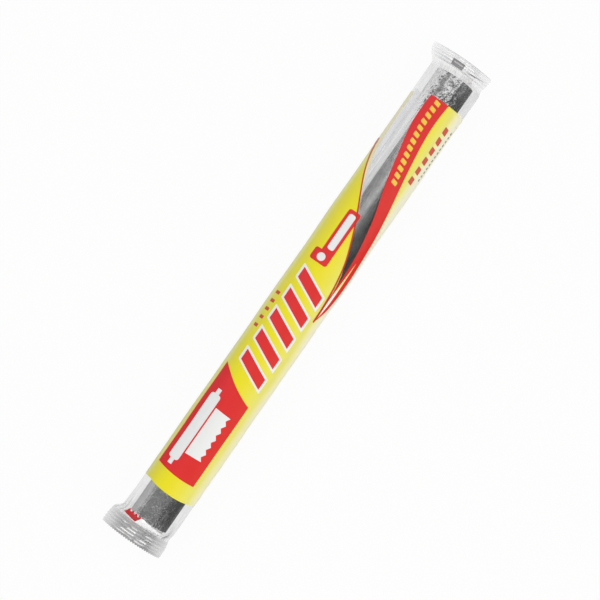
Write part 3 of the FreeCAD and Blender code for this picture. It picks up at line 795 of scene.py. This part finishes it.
SLIVER_FOOT = smooth_line(
    (-3.0, -12.75, -0.1), (8.0, -13.6, 0.0), (20.0, -13.6, 0.02), (34.0, -13.15, 0.04))


def bowed(along, across):
    """Prints near the left end bow out to the left over the crown."""
    bow = np.minimum(((across + 2 * MM) / (14 * MM)) ** 2, 1.3)
    return along + 1.1 * MM * bow * np.clip((-98 * MM - along) / (22 * MM), 0, 1)


def lay_print(name, columns, rows, place, lift, ink):
    """A thin field of ink on the film. place turns shares along and across into places on the film."""
    piece = new_grid(name, columns, rows)
    along, around = place(*grid_shares(piece))
    move_points(piece, film_point(along, around, lift))
    return ink_layer(piece, ink)


def ink_layer(piece, ink):
    """Gives a laid print its thickness, with the ink on top and its white backing underneath, whose white is
    painted light for light that passes through the print.
    """
    face_outwards(piece)
    finish_piece(piece, materials["backing"])
    piece.data.materials.append(ink)
    for face in piece.data.polygons:
        face.material_index = 1
    give_thickness(piece, INK_THICKNESS)
    smooth(piece, 50)
    return piece


def field_between(left, right, low, high):
    """A field between two places along and two curves across."""
    def place(share_along, share_across):
        along = left + share_along * (right - left)
        foot, top = low(along), high(along)
        return along, around_from_across(foot + share_across * (top - foot))
    return place


def panel_field(share_along, share_across):
    """The red panel: square at the left, with a slanted and slightly hollow right end."""
    across = (-9.7 + share_across * 24.0) * MM
    right = (-65.9 + 14.4 * share_across - 1.4 * 4 * share_across * (1 - share_across)) * MM
    left = -119.7 * MM
    return bowed(left + share_along * (right - left), across), around_from_across(across)


def make_yellow():
    """The yellow field: round the sleeve but for the bare strip at the back, with the window left out."""
    back = HALF_GIRTH - BACK_GAP / 2
    tip = WINDOW_TIP
    rows = np.concatenate([np.linspace(LABEL_LEFT, tip, 73), np.linspace(tip, LABEL_RIGHT, 61)[1:]])
    halves = []
    for outer in (back, -back):
        half = new_grid("yellow_half", len(rows) - 1, 44)
        share_along, share_across = grid_shares(half)
        along = rows[np.rint(share_along * (len(rows) - 1)).astype(int)]
        if outer > 0:
            inner = around_from_across(WINDOW_TOP(np.maximum(along, tip)))
            inner = inner + eased((along - 91 * MM) / (11 * MM)) * (WINDOW_WRAP - inner)
        else:
            under_band = (BAND_TOP(along) + BAND_FOOT(along)) / 2
            inner = around_from_across(np.where(along <= tip, WINDOW_TOP(tip), under_band))
        around = outer + share_across * (inner - outer)
        across = np.clip(around, -HALF_WIDTH, HALF_WIDTH)
        move_points(half, film_point(bowed(along, across), around, FIRST_INK))
        halves.append(half)
    yellow = join("yellow_label", halves)
    close_seams(yellow)
    ink_layer(yellow, materials["yellow"])
    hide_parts("yellow_print")


def make_red():
    """The red panel and band, and the thin line above the window."""
    red = materials["red"]
    band = lay_print("red_band", 120, 16, field_between(-7.1 * MM, LABEL_RIGHT, BAND_FOOT, BAND_TOP),
                     SECOND_INK, red)
    lay_print("red_panel", 44, 34, panel_field, SECOND_INK, red)
    half_line = 0.43 * MM
    lay_print("window_line", 90, 2, field_between(-6.6 * MM, 99 * MM, lambda x: THIN_LINE(x) - half_line,
                                                  lambda x: THIN_LINE(x) + half_line), THIRD_INK,
              materials["line"])
    lay_print("band_sliver", 40, 3, field_between(-3 * MM, 34 * MM, SLIVER_FOOT, SLIVER_TOP),
              THIRD_INK, materials["sliver"])
    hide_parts("red_print")


def make_pale_edge():
    """The narrow pale strip between the thin line and the window. It runs on round the +Y side."""
    def place(share_along, share_around):
        along = (60.0 + 71.0 * share_along) * MM
        start, end = around_from_across(WINDOW_TOP(along)), around_from_across(THIN_LINE(along))
        wrap = np.clip((along - 92 * MM) / (8 * MM), 0, 1)
        end = end + wrap * (WINDOW_WRAP - end)
        return along, start + share_around * (end - start)
    lay_print("pale_edge", 72, 12, place, FIRST_INK + 0.02 * MM, materials["pale_edge"])


def flat_bar(left, right, low, high, slant=0.0, corner=0.0):
    """A bar drawn on the film while it lies flat, in millimetres, with slanted ends or round corners."""
    deselect_all()
    bpy.ops.mesh.primitive_plane_add(size=1, location=((left + right) / 2 * MM, (low + high) / 2 * MM, 0))
    bar = bpy.context.object
    bar.scale = ((right - left) * MM, (high - low) * MM, 1)
    bpy.ops.object.transform_apply(location=True, rotation=True, scale=True)
    places = coordinates(bar)
    places[:, 0] += slant * (places[:, 1] - (low + high) / 2 * MM)
    move_points(bar, places)
    if corner:
        edit(bar, lambda: bpy.ops.mesh.bevel(offset=corner * MM, segments=6, affect="VERTICES"))
    return bar


def flat_disc(along, across, radius):
    """A round spot drawn on the film while it lies flat, in millimetres."""
    deselect_all()
    bpy.ops.mesh.primitive_circle_add(vertices=40, radius=radius * MM, fill_type="NGON",
                                      location=(along * MM, across * MM, 0))
    disc = bpy.context.object
    bpy.ops.object.transform_apply(location=True, rotation=True, scale=True)
    return disc


def flat_shape(corners):
    """A many-sided shape drawn on the film while it lies flat, in millimetres."""
    deselect_all()
    bpy.ops.mesh.primitive_circle_add(vertices=len(corners), radius=1, fill_type="NGON")
    shape = bpy.context.object
    move_points(shape, [(along * MM, across * MM, 0) for along, across in corners])
    return shape


def print_shapes(name, shapes, lift, ink):
    """Cuts flat shapes into strips fine enough to bend, lays them on the film and prints them."""
    piece = join(name, shapes)
    places = coordinates(piece)
    low, high = places.min(axis=0), places.max(axis=0)
    for axis, step in ((0, 4 * MM), (1, 1 * MM)):
        for cut in np.arange(low[axis] + step, high[axis], step):
            point, normal = [0, 0, 0], [0, 0, 0]
            point[axis], normal[axis] = cut, 1
            edit(piece, lambda: bpy.ops.mesh.bisect(plane_co=point, plane_no=normal))
    places = coordinates(piece)
    move_points(piece, film_point(places[:, 0], around_from_across(places[:, 1]), lift))
    return ink_layer(piece, ink)


def print_patch(name, left, right, start, end, ink, wave=0.0):
    """A field of ink on a shoulder or an end seal, given by its run round the film, with a wavy inner edge.
    Its left and right edges are given where the run starts and where it ends."""
    def place(share_along, share_around):
        around = (start + share_around * (end - start)) * MM
        edge = wave * MM * np.sin(7.5 * math.pi * share_around) * share_along
        first, last = [side[0] + share_around * (side[1] - side[0]) for side in (left, right)]
        return (first + share_along * (last - first)) * MM + edge, around
    return lay_print(name, 12, 24, place, SECOND_INK, ink)


# The slanted stripes, in millimetres: their number, places and lean, and the white margin round each
STRIPES = 5
STRIPE_FIRST = -46.85
STRIPE_PITCH = 13.8
STRIPE_HALF = 3.35
STRIPE_LOW, STRIPE_HIGH = -8.6, 9.0
STRIPE_MARGIN = 1.3
STRIPE_LEAN = 0.5


def print_emblem():
    """A roll with its sheet hanging from it, cut in a row of teeth at its foot."""
    teeth = [(-105.4 + 2.4 * step, -3.8 if step % 2 else -5.4) for step in range(13)]
    shapes = [
        flat_bar(-112.5, -69.5, 5.6, 11.6, corner=1.6),
        flat_bar(-115.8, -112.3, 7.4, 9.8),
        flat_bar(-69.7, -66.2, 7.4, 9.8),
        flat_shape([(-76.0, 4.7), (-106.0, 4.7)] + teeth),
    ]
    emblem = print_shapes("white_emblem", shapes, THIRD_INK, materials["white"])
    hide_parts("white_print")


def print_stripes():
    """Slanted red stripes, each with a white outline."""
    outlines, stripes = [], []
    outer = STRIPE_HALF + STRIPE_MARGIN
    low, high = STRIPE_LOW - STRIPE_MARGIN, STRIPE_HIGH + STRIPE_MARGIN
    for number in range(STRIPES):
        middle = STRIPE_FIRST + number * STRIPE_PITCH
        outlines.append(flat_bar(middle - outer, middle + outer, low, high, STRIPE_LEAN, 0.5))
        stripes.append(flat_bar(middle - STRIPE_HALF, middle + STRIPE_HALF, STRIPE_LOW, STRIPE_HIGH,
                                STRIPE_LEAN, 0.2))
    print_shapes("white_outlines", outlines, SECOND_INK, materials["white"])
    print_shapes("red_stripes", stripes, THIRD_INK, materials["red"])


def print_tab():
    """A red tab with a white spot and a white strip."""
    tab = [flat_bar(22.0, 29.6, -0.6, 10.4, corner=1.5), flat_bar(28.0, 57.0, -0.6, 7.0, corner=1.5)]
    print_shapes("red_tab", tab, SECOND_INK, materials["red"])
    marks = [flat_disc(25.8, 4.9, 2.4), flat_bar(31.6, 54.8, 1.2, 5.2, corner=1.3)]
    print_shapes("white_tab_marks", marks, THIRD_INK, materials["white"])


def print_rows():
    """Rows of small marks: dots above the stripes, dashes and ticks below the band, and beads on it."""
    dots = [flat_bar(along - 1.0, along + 1.0, 12.0, 14.2, corner=0.3)
            for along in np.linspace(-25.6, -4.0, 5)]
    dashes = [flat_bar(along - 2.1, along + 2.1, -13.2, -10.8, 0.3, 0.4)
              for along in np.arange(89, 124, 6.6)]
    print_shapes("dark_red_marks", dots + dashes, SECOND_INK, materials["dark_red"])
    beads = []
    for along in np.arange(82.5, 133, 4.1):
        across = (BAND_TOP(along * MM) + BAND_FOOT(along * MM)) / 2 / MM
        beads.append(flat_bar(along - 1.25, along + 1.25, across - 1.7, across + 1.7, 0.25, 0.5))
    print_shapes("yellow_marks", beads, THIRD_INK, materials["pale_yellow"])
    ticks = [flat_bar(along - 0.7, along + 0.7, -15.6, -15.1, 0.3) for along in np.arange(92, 124, 2.6)]
    print_shapes("grey_ticks", ticks, SECOND_INK, materials["grey_ink"])


def make_end_marks():
    """What the cut left of the next pack's print on the left shoulder, and the register mark at the right."""
    print_patch("red_remnant", (-154.4, -152.8), (-149.8, -149.4), 3.8, 14.2,
                materials["red"], 0.7)
    print_patch("white_remnant", (-152.9, -154.4), (-151.7, -149.4), -12.2, 3.8,
                materials["bright_white"], 0.25)
    print_patch("register_mark", (155.6, 155.6), (159.6, 159.6), -2.6, 5.4,
                materials["grey_ink"])
    print_patch("register_bars", (156.4, 156.4), (158.8, 158.8), -1.8, 4.2,
                materials["pale_grey_ink"])


# The roll

def make_foil():
    """The wound foil: a tube with its turns' edges on its ends, the step of its free end, and creases."""
    deselect_all()
    bpy.ops.mesh.primitive_cylinder_add(vertices=192, radius=ROLL_RADIUS, depth=2 * ROLL_HALF,
                                        location=(0, 0, ROLL_AXIS), rotation=(0, math.pi / 2, 0))
    foil = bpy.context.object
    foil.name = "foil"
    bpy.ops.object.transform_apply(location=True, rotation=True, scale=True)
    select_faces(foil, lambda middle, normal: abs(normal[0]) > 0.99)
    ring = (ROLL_RADIUS - BORE_RADIUS) / TURN_EDGES
    for number in range(TURN_EDGES):
        bpy.ops.mesh.inset(thickness=ring, depth=TURN_DEPTH if number % 2 else -TURN_DEPTH)
    bpy.ops.mesh.bridge_edge_loops()
    bpy.ops.object.mode_set(mode="OBJECT")
    close_seams(foil)

    def on_skin(middles):
        return np.hypot(middles[:, 1], middles[:, 2] - ROLL_AXIS) > ROLL_RADIUS - 0.1 * MM

    # the skin is divided along the roll, more finely towards its ends, where it shows its creases
    divide_edges(foil, lambda middles, runs: (np.abs(runs[:, 0]) > ROLL_HALF) & on_skin(middles), 59)
    for reach, cuts in ((118 * MM, 3), (128 * MM, 2)):
        divide_edges(foil, lambda middles, runs: (np.abs(middles[:, 0]) > reach) & on_skin(middles)
                     & (np.abs(runs[:, 0]) > 0.3 * MM) & (np.abs(runs[:, 1]) < 1e-7), cuts)
    wind_foil(foil)
    crease_foil(foil)
    smooth(foil, 30)
    finish_piece(foil, materials["foil"])
    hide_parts("foil_roll")


def wind_foil(foil):
    """Lets the skin shrink by one step over a turn, so that the free end stands proud along its line."""
    places = coordinates(foil)
    across, up = places[:, 1], places[:, 2] - ROLL_AXIS
    turn = ((np.arctan2(up, across) - TAIL_ANGLE) / (2 * math.pi)) % 1
    radius = np.hypot(across, up)
    skin = np.clip((radius - BORE_RADIUS) / (ROLL_RADIUS - BORE_RADIUS), 0, 1)
    shrunk = (radius - skin * TAIL_STEP * turn) / radius
    places[:, 1] = across * shrunk
    places[:, 2] = ROLL_AXIS + up * shrunk
    move_points(foil, places)


def crease_foil(foil):
    """Presses creases into the skin: fine dents at both ends, deep ones at the right end only."""
    places = coordinates(foil)
    radius = np.hypot(places[:, 1], places[:, 2] - ROLL_AXIS)
    on_skin = np.clip((radius - BORE_RADIUS) / (0.8 * MM), 0, 1)
    both = np.clip((np.abs(places[:, 0]) - 112 * MM) / (20 * MM), 0.08, 1) * on_skin
    both = both * np.where(places[:, 0] > 0, 0.5, 1.0)
    right = np.clip((places[:, 0] - 116 * MM) / (22 * MM), 0.06, 1) * on_skin
    # the right end's creases leave out its -Y flank and a smooth band along its +Y side
    right = right * np.interp(places[:, 1] / MM, (-7, -5, 2.8, 3.8, 6.5, 8),
                              (0.15, 0.8, 0.8, 0.12, 0.12, 0.5))
    for name, weights, kind, scale, depth in (("dents", both, "VORONOI", 2.2 * MM, 0.07 * MM),
                                              ("creases", right, "VORONOI", 3.2 * MM, 0.30 * MM),
                                              ("hollows", both, "CLOUDS", 11 * MM, 0.15 * MM)):
        group = foil.vertex_groups.new(name=name)
        for index in np.nonzero(weights > 0)[0]:
            group.add([int(index)], float(weights[index]), "REPLACE")
        pattern = bpy.data.textures.new(name, type=kind)
        pattern.noise_scale = scale
        if kind == "VORONOI":
            pattern.weight_1, pattern.weight_2 = -1.0, 1.0
        activate(foil)
        bpy.ops.object.modifier_add(type="DISPLACE")
        press = foil.modifiers[-1]
        press.texture = pattern
        press.texture_coords = "LOCAL"
        press.vertex_group = name
        press.strength = -depth
        press.mid_level = 0.0
        bpy.ops.object.modifier_apply(modifier=press.name)


def dress_core():
    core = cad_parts["cardboard_core"]
    core.data.materials.clear()
    core.data.materials.append(materials["board"])


# The studio

def make_floor():
    """A pale floor. It looks white behind the pack, and still keeps the pack's soft shadow."""
    deselect_all()
    bpy.ops.mesh.primitive_plane_add(size=8)
    floor = bpy.context.object
    floor.name = "floor"
    material, shader, add, _ = new_material("white_floor")
    tree = material.node_tree
    shader.inputs["Base Color"].default_value = (0.62, 0.62, 0.62, 1)
    shader.inputs["Roughness"].default_value = 0.9
    shader.inputs["Specular IOR Level"].default_value = 0.0
    rays = add("ShaderNodeLightPath")
    seen = math_node(add, "MAXIMUM", rays.outputs["Is Camera Ray"], rays.outputs["Is Transmission Ray"])
    white = add("ShaderNodeEmission", {"Color": (1, 1, 1, 1), "Strength": 1.0})
    seen = math_node(add, "MULTIPLY", seen, 0.95)
    plain = add("ShaderNodeMixShader", {"Fac": seen, 1: shader.outputs["BSDF"], 2: white.outputs["Emission"]})
    # what the foil mirrors of the floor is a painted reflection: pale on the +Y side, less so at the left,
    # and painted shade on the -Y side
    place = add("ShaderNodeTexCoord")
    parts = add("ShaderNodeSeparateXYZ", {"Vector": place.outputs["Object"]})
    shade = spread_values(add, parts.outputs["Y"], -0.03, 0.03, 0.07, 0.95)
    shade = math_node(add, "MULTIPLY", shade, spread_values(add, parts.outputs["X"], -0.12, 0.0, 0.55, 1.0))
    mirrored = add("ShaderNodeEmission", {"Color": shade, "Strength": 1.0})
    mix = add("ShaderNodeMixShader", {"Fac": rays.outputs["Is Glossy Ray"], 1: plain.outputs["Shader"],
                                      2: mirrored.outputs["Emission"]})
    output = next(node for node in tree.nodes if node.type == "OUTPUT_MATERIAL")
    tree.links.new(mix.outputs["Shader"], output.inputs["Surface"])
    floor.data.materials.append(material)


def add_softbox(name, place, width, height, watts):
    """A soft rectangular lamp, aimed at the pack. It lights the pack but isn't mirrored in it."""
    deselect_all()
    bpy.ops.object.light_add(type="AREA", location=place)
    lamp = bpy.context.object
    lamp.name = name
    lamp.data.shape = "RECTANGLE"
    lamp.data.size = width
    lamp.data.size_y = height
    lamp.data.energy = watts
    lamp.visible_glossy = False
    across, up = math.hypot(place[0], place[1]), place[2]
    lamp.rotation_euler = (math.atan2(across, up), 0, math.atan2(place[0], -place[1]))


def make_lights():
    """Soft lamps behind, in front of and to the left of the pack."""
    add_softbox("back_lamp", (0.1, 1.0, 1.0), 1.6, 0.9, 10)
    add_softbox("front_lamp", (0.1, -1.1, 0.9), 1.6, 0.9, 8)
    add_softbox("low_front_lamp", (0.1, -1.2, 0.35), 1.6, 0.5, 5)
    add_softbox("left_lamp", (-1.3, -0.1, 0.4), 0.9, 0.5, 6)


# The studio's greys from its dark -Y wall, over its ceiling, to its pale wall on the +Y and +X sides
WALLS = [(0.0, 0.04), (0.067, 0.06), (0.185, 0.12), (0.337, 0.165), (0.5, 0.17), (0.94, 0.175), (0.98, 0.85),
         (1.0, 0.95)]


def make_studio():
    """The room that the foil mirrors: a dark wall on the -Y side, and pale walls on the +Y and +X sides."""
    world = bpy.data.worlds.new("studio")
    bpy.context.scene.world = world
    world.use_nodes = True
    tree = world.node_tree
    tree.nodes.clear()
    add = node_adder(tree)
    place = add("ShaderNodeTexCoord")
    parts = add("ShaderNodeSeparateXYZ", {"Vector": place.outputs["Generated"]})
    lean = math_node(add, "MULTIPLY_ADD", parts.outputs["X"], 0.7, parts.outputs["Y"])
    walls = colour_stops(add, spread_values(add, lean, -1.0, 1.0, 0.0, 1.0), grey_stops(WALLS))
    # the +X wall reaches in over the pack's right end, narrowing to a point
    reach = math_node(add, "MULTIPLY_ADD", absolute(add, parts.outputs["Y"]), -0.12, parts.outputs["X"])
    end_wall = spread_values(add, reach, 0.05, 0.10, 0.0, 1.0)
    both = add("ShaderNodeMix", {0: 1.0, 6: walls, 7: end_wall}, data_type="RGBA", blend_type="LIGHTEN")
    sky = add("ShaderNodeBackground", {"Color": both.outputs[2]})
    add("ShaderNodeOutputWorld", {"Surface": sky.outputs["Background"]})


def make_camera():
    """Straight above the pack, turned so that the roll rises to the upper right."""
    distance = 1.05
    seen_width = 335.2 * MM
    middle_along, middle_across = -0.55 * MM, 0.8 * MM
    turned = math.radians(-55.17)
    deselect_all()
    bpy.ops.object.camera_add(location=(middle_along, middle_across, distance + ROLL_AXIS))
    camera = bpy.context.object
    camera.rotation_euler = (0, 0, turned)
    camera.data.sensor_fit = "HORIZONTAL"
    camera.data.angle = 2 * math.atan(seen_width / 2 / distance)
    camera.data.clip_start = 0.01
    bpy.context.scene.camera = camera


# Colours across the pack, from its -Y side to its +Y side. The yellow is paler with a painted highlight on
# the -Y side, and the yellow and the red are darker with painted shade towards the +Y side.
YELLOW = [(0.0, (0.79, 0.766, 0.594)), (0.07, (0.775, 0.743, 0.323)), (0.13, (0.725, 0.67, 0.163)),
          (0.19, (0.742, 0.689, 0.105)), (0.32, (0.753, 0.672, 0.054)), (0.50, (0.769, 0.663, 0.025)),
          (0.62, (0.758, 0.679, 0.0105)), (0.75, (0.727, 0.656, 0.018)), (0.81, (0.697, 0.633, 0.0265)),
          (0.87, (0.673, 0.603, 0.035)), (0.93, (0.616, 0.581, 0.079)), (1.0, (0.639, 0.623, 0.303))]
RED = [(0.0, (0.66, 0.018, 0.013)), (0.25, (0.66, 0.0155, 0.0095)), (0.42, (0.64, 0.024, 0.022)),
       (0.55, (0.665, 0.028, 0.027)), (0.75, (0.645, 0.020, 0.026)), (1.0, (0.53, 0.006, 0.010))]
PLAIN_WHITE = [(0.0, (0.765, 0.765, 0.755)), (0.5, (0.755, 0.755, 0.745)), (1.0, (0.73, 0.735, 0.735))]
BRIGHT_WHITE = [(0.0, (0.93, 0.93, 0.93)), (1.0, (0.95, 0.95, 0.95))]
DARK_RED = [(0.0, (0.57, 0.09, 0.06)), (1.0, (0.45, 0.06, 0.025))]
GREY_INK = [(0.0, (0.20, 0.20, 0.20)), (1.0, (0.24, 0.24, 0.24))]
PALE_GREY_INK = [(0.0, (0.42, 0.42, 0.42)), (1.0, (0.48, 0.48, 0.48))]
PALE_YELLOW = [(0.0, (0.77, 0.51, 0.06)), (1.0, (0.79, 0.55, 0.07))]
# and from left to right
LINE_RED = [(0.0, (0.55, 0.02, 0.02)), (0.78, (0.50, 0.025, 0.012)), (0.88, (0.45, 0.065, 0.02)),
            (1.0, (0.46, 0.17, 0.10))]
PALE_EDGE = [(0.77, (0.78, 0.70, 0.50)), (0.886, (0.72, 0.66, 0.40)), (0.94, (0.66, 0.63, 0.43)),
             (1.0, (0.66, 0.63, 0.44))]
SLIVER = [(0.0, (0.83, 0.80, 0.74)), (0.68, (0.86, 0.83, 0.76)), (0.76, (0.88, 0.80, 0.32)),
          (1.0, (0.85, 0.70, 0.22))]


def fin_material():
    """The long seal's two films, seen through the pack."""
    material, shader, add, wire = new_material("pressed_film")
    shader.inputs["Alpha"].default_value = 0.08
    shader.inputs["IOR"].default_value = 1.6
    cloudy = noise(add, web_place(add, (200, 400, 1)), detail=3.0)
    wire(colour_stops(add, cloudy, [(0.3, (0.35, 0.35, 0.36)), (0.7, (0.70, 0.70, 0.70))]), "Base Color")
    wire(spread_values(add, cloudy, 0.3, 0.7, 0.10, 0.30), "Roughness")
    return material


def backing_material():
    """The white under the ink, which shows only through the window: painted light for the light that passes
    through the print. On its +Y side it glows with the light that the thin film lets in."""
    material, shader, add, wire = new_material("white_backing")
    place = add("ShaderNodeTexCoord")
    across = add("ShaderNodeSeparateXYZ", {"Vector": place.outputs["Object"]}).outputs["Y"]
    share = spread_values(add, across, -HALF_WIDTH, HALF_WIDTH, 0.0, 1.0)
    cloudy = noise(add, object_place(add, (200, 400, 400)))
    wire(colour_stops(add, cloudy, [(0.3, (0.88, 0.88, 0.88)), (0.7, (0.92, 0.92, 0.92))]), "Base Color")
    wire(spread_values(add, cloudy, 0.3, 0.7, 0.40, 0.55), "Roughness")
    glow = [(0.0, (0.0, 0.0, 0.0)), (0.5, (0.04, 0.04, 0.04)), (0.75, (0.40, 0.40, 0.41)),
            (1.0, (0.42, 0.42, 0.43))]
    wire(colour_stops(add, share, glow), "Emission Color")
    shader.inputs["Emission Strength"].default_value = 1.0
    return material


materials = {
    "film": clear_film_material(),
    "crimped": crimped_film_material(),
    "fin": fin_material(),
    "yellow": ink_material("yellow_ink", YELLOW, painted_highlight_widening=0.17),
    "red": ink_material("red_ink", RED),
    "line": ink_material("line_ink", LINE_RED, axis="X", reach=100 * MM),
    "pale_edge": ink_material("pale_edge_ink", PALE_EDGE, axis="X", reach=110 * MM),
    "white": ink_material("white_ink", PLAIN_WHITE),
    "bright_white": ink_material("bright_white_ink", BRIGHT_WHITE, glow=0.2),
    "dark_red": ink_material("dark_red_ink", DARK_RED),
    "pale_yellow": ink_material("pale_yellow_ink", PALE_YELLOW),
    "sliver": ink_material("sliver_ink", SLIVER, axis="X", reach=34 * MM),
    "grey_ink": ink_material("grey_ink", GREY_INK),
    "pale_grey_ink": ink_material("pale_grey_ink", PALE_GREY_INK),
    "backing": backing_material(),
    "foil": foil_material(),
    "board": board_material(),
}

make_camera()
make_floor()
make_lights()
make_studio()
make_foil()
dress_core()
make_film()
make_fin()
make_yellow()
make_red()
make_pale_edge()
print_emblem()
print_stripes()
print_tab()
print_rows()
make_end_marks()

bpy.context.scene.view_settings.view_transform = "Standard"
